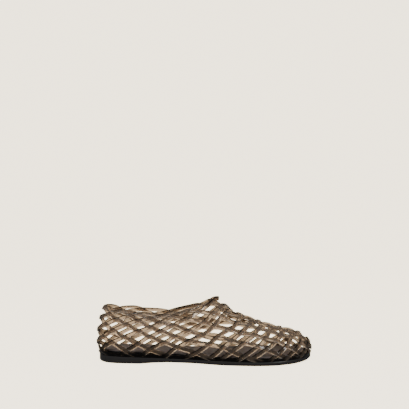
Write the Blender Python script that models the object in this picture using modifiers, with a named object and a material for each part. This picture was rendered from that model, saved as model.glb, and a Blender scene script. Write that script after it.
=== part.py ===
"""Jelly ballet flat for the right foot: a moulded net upper on a thin black sole.

Sizes are in millimetres in the tables and functions, with x from the back of the heel to the toe,
negative y on the outer side of the foot and z up from the floor. The mesh is written in metres
around the middle of the shoe.
"""
import bmesh
import bpy
import numpy as np

NAME = "jelly_ballet_flat"
MM = 0.001

# driving dimensions
LENGTH = 250.0
SIDE_SHIFT = -0.4
STRIP_WIDTH = 5.0
STRIP_THICKNESS = 2.0
WEAVE_LIFT = 0.7
FOOT_BAND_HEIGHT = 3.4
SEAT_GAP = 0.3
SHORTEST_HOLE_EDGE = 0.25
SMALLEST_HOLE = 12.0
UNDER_DISTANCE = 5.0
UNDER_SHARE = 0.4
SHARPEST_CORNER = 0.35
EDGE_DROP = 0.2
EDGE_TOLERANCE = 0.7
SOLE_LEDGE = 1.0
SOLE_EDGE_ROUND = 2.2
ROUND_FLANK = 0.3
FOOTBED_INSET = 3.4
INSOLE_THICKNESS = 1.4
INSOLE_INSET = 3.7
EDGE_ROUND = 0.6
SWELL_LOW = 0.7
SMOOTH_BELOW = 40.0
LOFT_SECTIONS = 57
CLOSEST_SECTIONS = 0.04
OUTLINE_STEP = 0.01
NORMAL_STEP = 0.02
RIB_SAMPLES = 33
LENGTH_SAMPLES = 9
PARALLEL = 1e-12

# the last, one rib a row from the back of the heel to the toe: where the wall meets the sole,
# its half widths there, the collar or ridge that it rises to, how far it swells and how full it is
RIB_COLUMNS = ("foot_x", "outer", "inner", "foot_z", "crown_x", "crown_half", "crown_z", "swell", "full")
RIBS = (
    (4.5, 0.0, 0.0, 8.0, 8.6, 0.0, 61.8, 4.2, 2.0),
    (8.8, 13.5, 13.5, 8.0, 11.3, 10.5, 61.6, 4.3, 2.0),
    (20.0, 22.5, 22.5, 8.0, 21.0, 18.5, 59.6, 4.5, 2.0),
    (42.0, 26.5, 26.0, 7.6, 42.0, 22.0, 58.6, 4.4, 2.0),
    (70.0, 28.0, 25.5, 7.0, 70.0, 23.0, 55.2, 4.2, 2.0),
    (98.0, 30.5, 25.0, 6.2, 96.0, 20.0, 58.0, 3.8, 2.0),
    (124.0, 34.0, 28.0, 5.4, 120.0, 13.0, 64.0, 3.2, 1.9),
    (146.0, 37.5, 33.0, 5.0, 139.0, 0.0, 72.0, 2.5, 1.8),
    (166.0, 40.0, 37.5, 4.6, 156.0, 0.0, 58.2, 2.0, 1.8),
    (186.0, 41.0, 40.0, 4.5, 174.0, 0.0, 49.6, 2.0, 1.9),
    (205.0, 38.5, 40.0, 4.8, 191.0, 0.0, 42.9, 2.0, 2.0),
    (222.0, 32.5, 36.5, 5.4, 207.0, 0.0, 38.2, 2.0, 2.1),
    (235.0, 23.5, 29.5, 6.2, 220.0, 0.0, 35.3, 2.2, 2.2),
    (243.0, 12.5, 19.5, 6.8, 229.0, 0.0, 33.0, 2.5, 2.2),
    (247.2, -3.0, 3.0, 7.2, 233.0, 0.0, 32.0, 3.2, 2.2),
)
TOE_TURN = 3.0
TURN_START = 60.0

# hoops over the vamp: the rib station of each at these shares of the wall's height, on both sides
HOOP_HEIGHTS = (0.0, 0.25, 0.4, 0.5, 0.75, 1.0)
HOOPS_OUTER = {
    2: (2.35, 3.15, 3.52, 3.81, 4.9, 7.1),
    3: (3.34, 3.92, 4.51, 4.95, 7.0, 7.89),
    4: (4.28, 4.87, 5.69, 6.6, 7.54, 8.03),
    5: (5.02, 6.25, 7.2, 7.69, 8.3, 8.75),
    6: (6.13, 7.33, 7.95, 8.32, 8.99, 9.31),
    7: (6.76, 8.05, 8.69, 9.02, 9.6, 9.88),
    8: (7.7, 8.98, 9.5, 9.77, 10.25, 10.56),
    9: (8.32, 9.65, 10.24, 10.57, 11.03, 11.3),
    10: (9.51, 10.64, 11.12, 11.38, 11.91, 12.25),
    11: (10.35, 11.6, 12.15, 12.45, 13.1, 13.59),
}
HOOPS_INNER = {
    2: (2.01, 2.93, 3.48, 3.77, 4.77, 7.1),
    3: (3.27, 3.93, 4.48, 4.88, 7.13, 7.89),
    4: (4.3, 4.89, 5.56, 6.43, 7.44, 8.03),
    5: (4.85, 5.83, 6.69, 7.28, 8.13, 8.75),
    6: (5.7, 7.04, 7.78, 8.09, 8.89, 9.31),
    7: (6.6, 7.83, 8.5, 8.85, 9.5, 9.88),
    8: (7.26, 8.66, 9.26, 9.66, 10.2, 10.56),
    9: (8.36, 9.49, 10.1, 10.54, 11.06, 11.3),
    10: (9.26, 10.38, 10.9, 11.25, 11.84, 12.25),
    11: (10.01, 11.32, 11.93, 12.29, 13.0, 13.59),
}

# strips that run along the foot: a station and height at each end, and the heights at shares between
RUN_SHARES = {"start_height": 0.0, "eighth": 0.125, "quarter": 0.25, "three_eighths": 0.375, "half": 0.5,
              "three_quarter": 0.75, "end_height": 1.0}
RUN_COLUMNS = ("start", "start_height", "eighth", "quarter", "three_eighths", "half", "three_quarter", "end",
               "end_height")
RISERS_OUTER = {
    -3: (0.0, 0.974, 0.97, 0.975, 0.98, 0.985, 0.995, 1.6, 1.0),
    -2: (0.0, 0.755, 0.765, 0.781, 0.814, 0.855, 0.948, 2.75, 1.0),
    -1: (0.0, 0.497, 0.54, 0.592, 0.656, 0.728, 0.877, 3.75, 1.0),
    0: (0.0, 0.234, 0.301, 0.393, 0.51, 0.653, 0.895, 5.1, 1.0),
    1: (0.0, 0.0, 0.084, 0.214, 0.368, 0.539, 0.908, 6.3, 1.0),
}
RISERS_INNER = {
    -3: (0.0, 0.974, 0.979, 0.976, 0.975, 0.978, 0.989, 1.64, 1.0),
    -2: (0.0, 0.755, 0.756, 0.76, 0.786, 0.83, 0.931, 2.75, 1.0),
    -1: (0.0, 0.497, 0.525, 0.564, 0.641, 0.733, 0.881, 3.75, 1.0),
    0: (0.0, 0.234, 0.311, 0.394, 0.517, 0.676, 0.901, 5.57, 1.0),
    1: (0.0, 0.0, 0.078, 0.204, 0.366, 0.544, 0.915, 6.3, 1.0),
}
RUNS_OUTER = {
    0: (0.0, 0.234, 0.222, 0.2, 0.17, 0.135, 0.07, 2.0, 0.0),
    1: (0.0, 0.497, 0.484, 0.464, 0.428, 0.377, 0.233, 3.3, 0.0),
    2: (0.0, 0.755, 0.759, 0.725, 0.636, 0.519, 0.25, 4.75, 0.0),
    3: (0.0, 0.974, 0.979, 0.917, 0.779, 0.61, 0.258, 6.5, 0.0),
    4: (1.6, 1.0, 0.984, 0.768, 0.563, 0.358, 0.156, 9.2, 0.0),
    5: (2.75, 1.0, 0.879, 0.693, 0.442, 0.301, 0.26, 11.0, 0.0),
    6: (3.75, 1.0, 0.883, 0.669, 0.454, 0.454, 0.375, 12.3, 0.0),
    7: (5.1, 1.0, 0.794, 0.599, 0.652, 0.636, 0.514, 13.6, 0.0),
}
RUNS_INNER = {
    0: (0.0, 0.234, 0.215, 0.19, 0.16, 0.125, 0.065, 2.0, 0.0),
    1: (0.0, 0.497, 0.458, 0.418, 0.383, 0.341, 0.209, 3.7, 0.0),
    2: (0.0, 0.755, 0.76, 0.753, 0.687, 0.572, 0.282, 4.84, 0.0),
    3: (0.0, 0.974, 0.964, 0.914, 0.787, 0.624, 0.25, 6.5, 0.0),
    4: (1.64, 1.0, 0.86, 0.748, 0.584, 0.379, 0.17, 9.2, 0.0),
    5: (2.75, 1.0, 0.87, 0.7, 0.474, 0.34, 0.284, 11.0, 0.0),
    6: (3.75, 1.0, 0.852, 0.633, 0.438, 0.473, 0.391, 12.3, 0.0),
    7: (5.57, 1.0, 0.804, 0.605, 0.646, 0.622, 0.499, 13.74, 0.0),
}
# strips that go round the toe in one, from the collar or the foot to the middle
TOE_WRAPS = {
    "run": (8, (6.3, 1.0, 0.735, 0.81, 0.82, 0.82, 0.68, 14.0, 0.22)),
    "hoop": (12, (11.4, 0.0, 0.055, 0.115, 0.175, 0.24, 0.42, 14.0, 0.56)),
}

# underside and insole heights along the shoe
SOLE_COLUMNS = ("x", "z")
UNDERSIDE = ((4.0, 0.0), (52.0, 0.0), (66.0, 1.2), (84.0, 2.0), (112.0, 1.5), (138.0, 0.3), (150.0, 0.0),
             (206.0, 0.0), (226.0, 0.8), (240.0, 2.0), (248.0, 2.9))
INSOLE_TOP = ((4.0, 14.8), (40.0, 14.4), (80.0, 13.0), (120.0, 11.2), (150.0, 10.2), (190.0, 9.8),
              (225.0, 10.4), (247.0, 11.6))

# finish of each piece: colour, roughness, alpha
FINISHES = {
    "upper": ((0.235, 0.165, 0.105), 0.18, 0.85),
    "insole": ((0.105, 0.085, 0.072), 0.55, 1.0),
    "footbed": ((0.012, 0.011, 0.011), 0.45, 1.0),
    "outsole": ((0.010, 0.010, 0.011), 0.35, 1.0),
}

OUTER, INNER = -1, 1
LAST_RIB = len(RIBS) - 1
THROAT_RIB = 7
RIB_TABLE = {name: np.array(column) for name, column in zip(RIB_COLUMNS, np.array(RIBS).T)}


def smooth_knots(values, at):
    """Smooth curve through evenly spaced values that already have one extra at each end."""
    span = len(values) - 4
    low = np.clip(np.floor(at).astype(int), 0, span)
    share = at - low
    before, start, end, after = (values[low + step] for step in range(4))
    bend = 2 * before - 5 * start + 4 * end - after
    twist = 3 * start - before - 3 * end + after
    return 0.5 * (2 * start + (end - before) * share + bend * share**2 + twist * share**3)


def rib_value(name, station, side=OUTER):
    """A column of the last at any station; the other side's rows carry on past the heel and the toe."""
    own, other = ("outer", "inner") if side == OUTER else ("inner", "outer")
    if name == "half":
        column, beyond = side * RIB_TABLE[own], -side * RIB_TABLE[other]
        tip = INNER * RIB_TABLE["inner"][-1]
        column = np.append(column[:-1], tip)
    elif name == "crown_half":
        column, beyond = side * RIB_TABLE[name], -side * RIB_TABLE[name]
    else:
        column = beyond = RIB_TABLE[name]
    values = np.concatenate([beyond[1:2], column, beyond[-2:-1]])
    return smooth_knots(values, np.asarray(station, float))


def middle_line(x):
    """The shoe's middle line bends towards the inner side at the toe."""
    share = np.clip((x - TURN_START) / (LENGTH - TURN_START), 0, 1)
    return TOE_TURN * share**2 * (3 - 2 * share)


def foot_outline(side, station):
    """Plan of the wall at the sole, with the direction that points out of the shoe."""
    points = np.stack([rib_value("foot_x", station), rib_value("half", station, side)], -1)
    ahead = np.clip(station + OUTLINE_STEP, 0, LAST_RIB)
    back = np.clip(station - OUTLINE_STEP, 0, LAST_RIB)
    run_x = rib_value("foot_x", ahead) - rib_value("foot_x", back)
    run_y = rib_value("half", ahead, side) - rib_value("half", back, side)
    outward = np.stack([-run_y, run_x], -1) * side
    on_middle = (station < OUTLINE_STEP) | (station > LAST_RIB - OUTLINE_STEP)
    outward[on_middle, 1] = 0
    return points, outward / np.linalg.norm(outward, axis=-1, keepdims=True)


def rib_point(side, station, turn):
    """Point of a rib, where turn goes from 0 at the sole to 1 at the top."""
    foot, outward = foot_outline(side, station)
    crown_x = rib_value("crown_x", station)
    crown = np.stack([crown_x, middle_line(crown_x) + rib_value("crown_half", station, side)], -1)
    power = 2 / rib_value("full", station)
    angle = turn * np.pi / 2
    inwards = 1 - np.maximum(np.cos(angle), 0) ** power
    rise = np.maximum(np.sin(angle), 0) ** power
    swell = rib_value("swell", station) * np.sin(np.pi * rise**SWELL_LOW)
    plan = foot + (crown - foot) * inwards[..., None] + outward * swell[..., None]
    foot_z = rib_value("foot_z", station)
    height = foot_z + (rib_value("crown_z", station) - foot_z) * rise
    return np.concatenate([plan, height[..., None]], -1)


RIB_STEPS = np.linspace(0, 1, RIB_SAMPLES)


def side_points(side, station, share):
    """Points of one side at a share of each rib's own length."""
    grid_station = np.repeat(station, len(RIB_STEPS))
    grid_turn = np.tile(RIB_STEPS, len(station))
    ribs = rib_point(side, grid_station, grid_turn).reshape(len(station), len(RIB_STEPS), 3)
    lengths = np.linalg.norm(np.diff(ribs, axis=1), axis=2).cumsum(axis=1)
    lengths = np.concatenate([np.zeros((len(station), 1)), lengths], axis=1)
    turns = [np.interp(part * total[-1], total, RIB_STEPS) for part, total in zip(share, lengths)]
    return rib_point(side, station, np.array(turns))


def wall(along, up, mirrored=False):
    """Points of the last. Past the heel's back, the ridge or the toe's middle the other side follows."""
    along = np.atleast_1d(np.asarray(along, float))
    up = np.atleast_1d(np.asarray(up, float))
    side = np.full(along.shape, INNER if mirrored else OUTER)
    side = np.where(along < 0, -side, side)
    side = np.where(along > LAST_RIB, -side, side)
    side = np.where(up > 1, -side, side)
    station = np.abs(along)
    station = np.where(station > LAST_RIB, 2 * LAST_RIB - station, station)
    share = np.where(up > 1, 2 - up, up)
    points = np.empty(along.shape + (3,))
    for which in (OUTER, INNER):
        chosen = side == which
        if chosen.any():
            points[chosen] = side_points(which, station[chosen], share[chosen])
    return points


def wall_normal(along, up, mirrored):
    """Direction out of the shoe, square to the last."""
    at_collar = (np.abs(along) < THROAT_RIB) & (up <= 1)
    low = np.maximum(up - NORMAL_STEP, 0)
    high = np.where(at_collar, np.minimum(up + NORMAL_STEP, 1), up + NORMAL_STEP)
    run = wall(along + NORMAL_STEP, up, mirrored) - wall(along - NORMAL_STEP, up, mirrored)
    climb = wall(along, high, mirrored) - wall(along, low, mirrored)
    normal = np.cross(climb, run) if mirrored else np.cross(run, climb)
    return normal / np.linalg.norm(normal, axis=-1, keepdims=True)


# a flat chart of the last, on which the strips are crossed: the plan with its heel wall spread inwards
CHART_PULL = 0.69
CHART_WAIST = 0.6


def chart(along, up, mirrored):
    """Flat place of a point of the last, with the foot outline outside and the collar inside."""
    side = np.full(along.shape, INNER if mirrored else OUTER)
    for beyond in (along < 0, along > LAST_RIB, up > 1):
        side = np.where(beyond, -side, side)
    station = np.abs(along)
    station = np.where(station > LAST_RIB, 2 * LAST_RIB - station, station)
    share = np.where(up > 1, 2 - up, up)[..., None]
    throat_x = RIB_TABLE["crown_x"][THROAT_RIB]
    half = np.where(side == OUTER, rib_value("half", station, OUTER), rib_value("half", station, INNER))
    foot = np.stack([rib_value("foot_x", station), half], -1)
    crown_x = rib_value("crown_x", station)
    chart_x = np.where(crown_x < throat_x, throat_x + (crown_x - throat_x) * CHART_PULL, crown_x)
    chart_y = middle_line(crown_x) + side * CHART_WAIST * np.maximum(rib_value("crown_half", station, INNER), 0)
    return foot + (np.stack([chart_x, chart_y], -1) - foot) * share


SAMPLES_PER_KNOT = 12


def smooth_line(knots, leaves_flat=False, arrives_flat=False):
    """Along and up of a smooth line through knots, level at an end that turns over the collar."""
    knots = np.array(knots, float)
    first = 2 * knots[0] - knots[1]
    last = 2 * knots[-1] - knots[-2]
    if leaves_flat:
        first = knots[1] * (-1, 1) + (2 * knots[0][0], 0)
    if arrives_flat:
        last = knots[-2] * (-1, 1) + (2 * knots[-1][0], 0)
    knots = np.concatenate([[first], knots, [last]])
    at = np.linspace(0, len(knots) - 3, (len(knots) - 3) * SAMPLES_PER_KNOT + 1)
    along, up = smooth_knots(knots[:, 0], at), smooth_knots(knots[:, 1], at)
    if leaves_flat or arrives_flat:
        up = np.minimum(up, 1.0)
    return along, up


class Strip:
    """A strip's middle line on the last, with its family and number in the weave."""

    def __init__(self, family, number, line, mirrored):
        self.family, self.number, self.mirrored = family, number, mirrored
        self.along, self.up = line
        self.flat = chart(self.along, self.up, mirrored)
        self.cuts = []

    def place(self, at):
        """Along and up at a sample position, which may lie between two samples."""
        samples = np.arange(len(self.along))
        return np.interp(at, samples, self.along), np.interp(at, samples, self.up)


def over_ridge(outer_knots, inner_knots):
    """A line up the outer side and down the inner side."""
    along, up = smooth_line(outer_knots)
    inner_along, inner_up = smooth_line(inner_knots)
    return np.concatenate([along, inner_along[-2::-1]]), np.concatenate([up, 2 - inner_up[-2::-1]])


def run_knots(row):
    """Knots of a strip that runs along the foot."""
    values = dict(zip(RUN_COLUMNS, row))
    span = values["end"] - values["start"]
    return [(values["start"] + span * share, values[name]) for name, share in RUN_SHARES.items()]


def net_strips():
    """Every strip of the net: the hoops, the risers and runs of both sides, and the wraps."""
    strips = []
    for number, stations in HOOPS_OUTER.items():
        line = over_ridge(list(zip(stations, HOOP_HEIGHTS)), list(zip(HOOPS_INNER[number], HOOP_HEIGHTS)))
        strips.append(Strip("hoop", number, line, False))
    for mirrored, risers, runs in ((False, RISERS_OUTER, RUNS_OUTER), (True, RISERS_INNER, RUNS_INNER)):
        for number, row in risers.items():
            line = smooth_line(run_knots(row), arrives_flat=row[-1] == 1.0)
            strips.append(Strip("hoop", number, line, mirrored))
        for number, row in runs.items():
            line = smooth_line(run_knots(row), leaves_flat=row[1] == 1.0)
            strips.append(Strip("run", number, line, mirrored))
    for family, (number, row) in TOE_WRAPS.items():
        towards = run_knots(row)
        away = [(2 * LAST_RIB - along, up) for along, up in reversed(towards[:-1])]
        strips.append(Strip(family, number, smooth_line(towards + away), False))
    return strips


def foot_band():
    """Middle line of the band that joins the strips' feet, round the whole shoe."""
    along = np.linspace(0, 2 * LAST_RIB, 2 * LAST_RIB * SAMPLES_PER_KNOT + 1)
    stations = np.where(along > LAST_RIB, 2 * LAST_RIB - along, along)
    shares = np.linspace(0, 1, LENGTH_SAMPLES)
    ribs = np.array([side_points(OUTER, np.full(LENGTH_SAMPLES, station), shares) for station in stations])
    lengths = np.linalg.norm(np.diff(ribs, axis=1), axis=2).sum(axis=1)
    return Strip("band", 0, (along, FOOT_BAND_HEIGHT / 2 / lengths), False)


def crossings(first, second):
    """Sample positions on both strips where their middle lines cross."""
    a, b = first.flat[:-1, None], np.diff(first.flat, axis=0)[:, None]
    c, d = second.flat[None, :-1], np.diff(second.flat, axis=0)[None]
    across = b[..., 0] * d[..., 1] - b[..., 1] * d[..., 0]
    across = np.where(np.abs(across) < PARALLEL, PARALLEL, across)
    gap = c - a
    on_first = (gap[..., 0] * d[..., 1] - gap[..., 1] * d[..., 0]) / across
    on_second = (gap[..., 0] * b[..., 1] - gap[..., 1] * b[..., 0]) / across
    inside = (on_first >= 0) & (on_first < 1) & (on_second >= 0) & (on_second < 1)
    return [(i + on_first[i, j], j + on_second[i, j]) for i, j in zip(*np.nonzero(inside))]


class Net:
    """Points and edges of the net on the last, and the cells that they enclose."""

    MERGE = 0.6

    def __init__(self):
        self.places, self.flat, self.lifts = [], [], []
        self.edges = set()
        strips = net_strips() + [foot_band()]
        for i, first in enumerate(strips):
            for second in strips[i + 1:]:
                for at_first, at_second in crossings(first, second):
                    if not 0 < first.place(at_first)[1] < 2:
                        continue
                    node = self.point(first, at_first)
                    over = self.first_is_over(first, second, self.places[node])
                    first.cuts.append((at_first, node, over))
                    second.cuts.append((at_second, node, None if over is None else not over))
        self.keep_shared_ends(strips)
        for strip in strips:
            self.link(strip)

    def point(self, strip, at):
        """Number of the point at a sample position, shared with any point already there."""
        along, up = strip.place(at)
        flat = chart(np.array([along]), np.array([up]), strip.mirrored)[0]
        for number, other in enumerate(self.flat):
            if np.hypot(*(other - flat)) < self.MERGE:
                return number
        self.places.append((along, up, strip.mirrored))
        self.flat.append(flat)
        self.lifts.append(0.0)
        return len(self.flat) - 1

    @staticmethod
    def first_is_over(first, second, place):
        """Plain weave: the hoop lies over on every second crossing, the other way round on the inner side."""
        if "band" in (first.family, second.family):
            return None
        along, up, mirrored = place
        inner = mirrored ^ (along < 0) ^ (along > LAST_RIB) ^ (up > 1)
        hoop_over = ((first.number + second.number) % 2 == 0) != inner
        return hoop_over == (first.family == "hoop")

    def keep_shared_ends(self, strips):
        """An end that meets another strip's end is a point of the net."""
        ends = [(strip, at) for strip in strips for at in (0, len(strip.flat) - 1)]
        for strip, at in ends:
            met = [other for other, place in ends
                   if other is not strip and np.hypot(*(other.flat[place] - strip.flat[at])) < self.MERGE]
            if met and 0 < strip.up[at] < 2:
                strip.cuts.append((at, self.point(strip, at), strip.family == "hoop"))

    def link(self, strip):
        """Edges of a strip, with a low point beside each crossing that it passes under."""
        cuts = sorted({cut[1]: cut for cut in strip.cuts}.values())
        if strip.family == "band":
            cuts.append((len(strip.flat) - 1 + cuts[0][0], cuts[0][1], None))
        for (start, node, over), (end, next_node, next_over) in zip(cuts, cuts[1:]):
            between = self.world(strip, np.linspace(start, end, LENGTH_SAMPLES))
            length = np.linalg.norm(np.diff(between, axis=0), axis=1).sum()
            beside = min(UNDER_DISTANCE / length, UNDER_SHARE)
            marks = [start]
            if over is False:
                marks.append(start + beside * (end - start))
            if next_over is False:
                marks.append(end - beside * (end - start))
            marks = self.refine(strip, marks + [end])
            low = [mark for mark, end_over in ((marks[1], over), (marks[-2], next_over)) if end_over is False]
            middle = [self.bare_point(strip, mark, -WEAVE_LIFT if mark in low else 0.0) for mark in marks[1:-1]]
            chain = [node, *middle, next_node]
            if strip.family != "band":
                self.lifts[node] = WEAVE_LIFT
                self.lifts[next_node] = WEAVE_LIFT
            self.edges.update(tuple(sorted(pair)) for pair in zip(chain, chain[1:]))

    def refine(self, strip, marks):
        """Adds marks until the straight edges between them follow the strip closely."""
        refined = [marks[0]]
        for start, end in zip(marks, marks[1:]):
            low, middle, high = self.world(strip, np.array([start, (start + end) / 2, end]))
            parts = int(np.ceil(np.sqrt(np.linalg.norm(middle - (low + high) / 2) / EDGE_TOLERANCE)))
            parts = max(parts, 1)
            refined.extend(start + (end - start) * (k + 1) / parts for k in range(parts))
        return refined

    def bare_point(self, strip, at, lift):
        """A new point on a strip between two crossings."""
        along, up = strip.place(at % (len(strip.flat) - 1) if strip.family == "band" else at)
        self.places.append((along, up, strip.mirrored))
        self.flat.append(chart(np.array([along]), np.array([up]), strip.mirrored)[0])
        self.lifts.append(lift)
        return len(self.flat) - 1

    @staticmethod
    def world(strip, at):
        """Points of the last along a strip."""
        along, up = strip.place(at % (len(strip.flat) - 1) if strip.family == "band" else at)
        return wall(along, up, strip.mirrored)

    def points_between_crossings(self):
        """Points where only one strip passes."""
        ends = np.array(list(self.edges)).ravel()
        return set(np.flatnonzero(np.bincount(ends) == 2).tolist())

    def cells(self):
        """Closed loops of points round each face of the chart, with the face on the left."""
        around = {}
        for a, b in self.edges:
            around.setdefault(a, []).append(b)
            around.setdefault(b, []).append(a)
        for point, others in around.items():
            rays = [self.flat[other] - self.flat[point] for other in others]
            order = np.argsort([np.arctan2(ray[1], ray[0]) for ray in rays])
            around[point] = [others[k] for k in order]
        unused = {(a, b) for a, b in self.edges} | {(b, a) for a, b in self.edges}
        loops = []
        while unused:
            start = min(unused)
            loop, edge = [], start
            while edge in unused:
                unused.remove(edge)
                loop.append(edge[0])
                turn = around[edge[1]]
                edge = (edge[1], turn[turn.index(edge[0]) - 1])
            loops.append(loop)
        return loops


def loop_area(points):
    """Area of a loop on the chart, positive where it runs anticlockwise."""
    x, y = np.array(points).T
    return 0.5 * np.sum(x * np.roll(y, -1) - y * np.roll(x, -1))


def inset_loop(points, normals, width):
    """The loop moved sideways on the wall by a width, and the length that is left of each edge."""
    ahead = np.roll(points, -1, axis=0) - points
    ahead /= np.linalg.norm(ahead, axis=1, keepdims=True)
    behind = np.roll(ahead, 1, axis=0)
    left_ahead, left_behind = np.cross(normals, ahead), np.cross(normals, behind)
    spread = 1 + np.sum(left_ahead * left_behind, axis=1, keepdims=True)
    moved = points + (left_ahead + left_behind) * width / np.maximum(spread, SHARPEST_CORNER)
    return moved, np.sum((np.roll(moved, -1, axis=0) - moved) * ahead, axis=1)


def rim_area(rim):
    """Area of a hole's rim."""
    spokes = rim - rim.mean(axis=0)
    return 0.5 * np.linalg.norm(np.cross(spokes, np.roll(spokes, -1, axis=0)).sum(axis=0))


def hole_rim(points, normals, can_drop):
    """The corners of a cell that its hole keeps, and where they go, or nothing where the cell is too small."""
    kept = list(range(len(points)))
    while len(kept) > 2:
        moved, lengths = inset_loop(points[kept], normals[kept], STRIP_WIDTH / 2)
        shortest = int(np.argmin(lengths))
        if lengths[shortest] > SHORTEST_HOLE_EDGE:
            return (kept, moved) if rim_area(moved) > SMALLEST_HOLE else ([], None)
        ends = [shortest, (shortest + 1) % len(kept)]
        spare = [k for k in ends if can_drop[kept[k]]]
        kept.pop((spare or ends)[0])
    return [], None


def net_mesh():
    """The net as an open sheet on the last, with its holes left out and its strips raised."""
    net = Net()
    along, up, mirrored = (np.array(column) for column in zip(*net.places))
    points = np.empty((len(along), 3))
    normals = np.empty((len(along), 3))
    for flag in (False, True):
        chosen = mirrored == flag
        points[chosen] = wall(along[chosen], up[chosen], flag)
        normals[chosen] = wall_normal(along[chosen], up[chosen], flag)
    loops = net.cells()
    areas = [loop_area([net.flat[k] for k in loop]) for loop in loops]
    outside = int(np.argmin(areas))
    sheet = bmesh.new()
    verts = [sheet.verts.new(point + normal * lift) for point, normal, lift in zip(points, normals, net.lifts)]
    rim_vert = {}
    between = net.points_between_crossings()
    for number, loop in enumerate(loops):
        if number == outside:
            foot = {k: wall(along[k], 2.0 if up[k] > 1 else 0.0, bool(mirrored[k]))[0] for k in loop}
            lower = {k: sheet.verts.new(place) for k, place in foot.items()}
            for a, b in zip(loop, loop[1:] + loop[:1]):
                sheet.faces.new((verts[a], verts[b], lower[b], lower[a]))
            continue
        ring = [verts[k] for k in loop]
        kept, rim = hole_rim(points[loop], normals[loop], [k in between for k in loop])
        if not kept:
            sheet.faces.new(ring)
            continue
        for k, place in zip(kept, rim):
            edge_lift = min(net.lifts[loop[k]], 0.0) - EDGE_DROP
            rim_vert[k] = sheet.verts.new(place + normals[loop[k]] * edge_lift)
        for start, end in zip(kept, kept[1:] + [kept[0] + len(loop)]):
            strip = [ring[k % len(loop)] for k in range(start, end + 1)]
            sheet.faces.new(strip + [rim_vert[end % len(loop)], rim_vert[start]])
    return sheet


def to_frame(points):
    """Millimetres from the heel to metres around the middle of the shoe."""
    return (np.asarray(points) - (LENGTH / 2, SIDE_SHIFT, 0)) * MM


def profile(rows, x):
    """Height from a table of places along the shoe."""
    table = dict(zip(SOLE_COLUMNS, np.array(rows).T))
    return np.interp(x, table["x"], table["z"])


def slab(name, layers, stations):
    """A closed block from layers, each an outward shift and a height for every place along the shoe."""
    mesh = bmesh.new()
    rings = []
    for shift, height in layers:
        ring = {}
        for side in (OUTER, INNER):
            foot, outward = foot_outline(side, stations)
            plan = foot + outward * shift
            places = np.column_stack([plan, height(foot[:, 0])])
            for k, place in enumerate(to_frame(places)):
                at_end = k in (0, len(stations) - 1)
                if not (at_end and side == INNER):
                    ring[side, k] = mesh.verts.new(place)
        for k in (0, len(stations) - 1):
            ring[INNER, k] = ring[OUTER, k]
        rings.append(ring)
    spans = list(zip(range(len(stations) - 1), range(1, len(stations))))
    for low, high in zip(rings, rings[1:]):
        for k, following in spans:
            mesh.faces.new((low[OUTER, k], low[OUTER, following], high[OUTER, following], high[OUTER, k]))
            mesh.faces.new((low[INNER, following], low[INNER, k], high[INNER, k], high[INNER, following]))
    for ring, turned in ((rings[0], True), (rings[-1], False)):
        for k, following in spans:
            corners = [ring[OUTER, k], ring[OUTER, following], ring[INNER, following], ring[INNER, k]]
            corners = list(dict.fromkeys(corners))
            mesh.faces.new(reversed(corners) if turned else corners)
    return as_object(name, mesh)


def finish(name):
    """Material of a piece."""
    colour, roughness, alpha = FINISHES[name]
    material = bpy.data.materials.new(name)
    material.use_nodes = True
    shader = material.node_tree.nodes["Principled BSDF"]
    shader.inputs["Base Color"].default_value = (*colour, 1)
    shader.inputs["Roughness"].default_value = roughness
    shader.inputs["Metallic"].default_value = 0
    shader.inputs["Alpha"].default_value = alpha
    return material


def as_object(name, mesh):
    """Object of a finished bmesh, in the part's collection with its material."""
    bmesh.ops.recalc_face_normals(mesh, faces=mesh.faces)
    data = bpy.data.meshes.new(name)
    mesh.to_mesh(data)
    mesh.free()
    data.materials.append(finish(name))
    data.shade_smooth()
    data.set_sharp_from_angle(angle=np.radians(SMOOTH_BELOW))
    thing = bpy.data.objects.new(name, data)
    bpy.data.collections[NAME].objects.link(thing)
    return thing


def upper():
    """The net, given its thickness inwards from the last."""
    sheet = net_mesh()
    for vert in sheet.verts:
        vert.co = to_frame(np.array(vert.co) + (0, 0, SEAT_GAP))
    thing = as_object("upper", sheet)
    thickness = thing.modifiers.new("strip thickness", "SOLIDIFY")
    thickness.thickness = STRIP_THICKNESS * MM
    thickness.offset = -1
    return thing


def underside(x):
    """Height of the outsole's lower face along the shoe."""
    return profile(UNDERSIDE, x)


def sole_top(x):
    """Height of the outsole's upper face along the shoe."""
    return np.interp(x, RIB_TABLE["foot_x"], RIB_TABLE["foot_z"])


def insole_top(x):
    """Height of the insole's upper face along the shoe."""
    return profile(INSOLE_TOP, x)


def insole_under(x):
    """Height of the insole's lower face along the shoe."""
    return insole_top(x) - INSOLE_THICKNESS


def raised(height, rise):
    """A height function moved up by a fixed rise."""
    return lambda x: height(x) + rise


def loft_stations():
    """Stations for the sole's sections: even along the last, and one at each break of the underside."""
    even = np.linspace(0, LAST_RIB, LOFT_SECTIONS)
    foot_x = rib_value("foot_x", even)
    breaks = [row[0] for row in UNDERSIDE if foot_x[1] < row[0] < foot_x[-2]]
    stations = np.unique(np.concatenate([even, np.interp(breaks, foot_x, even)]))
    close = np.diff(stations, prepend=-1) < CLOSEST_SECTIONS
    return stations[~close | (stations == LAST_RIB)]


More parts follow.
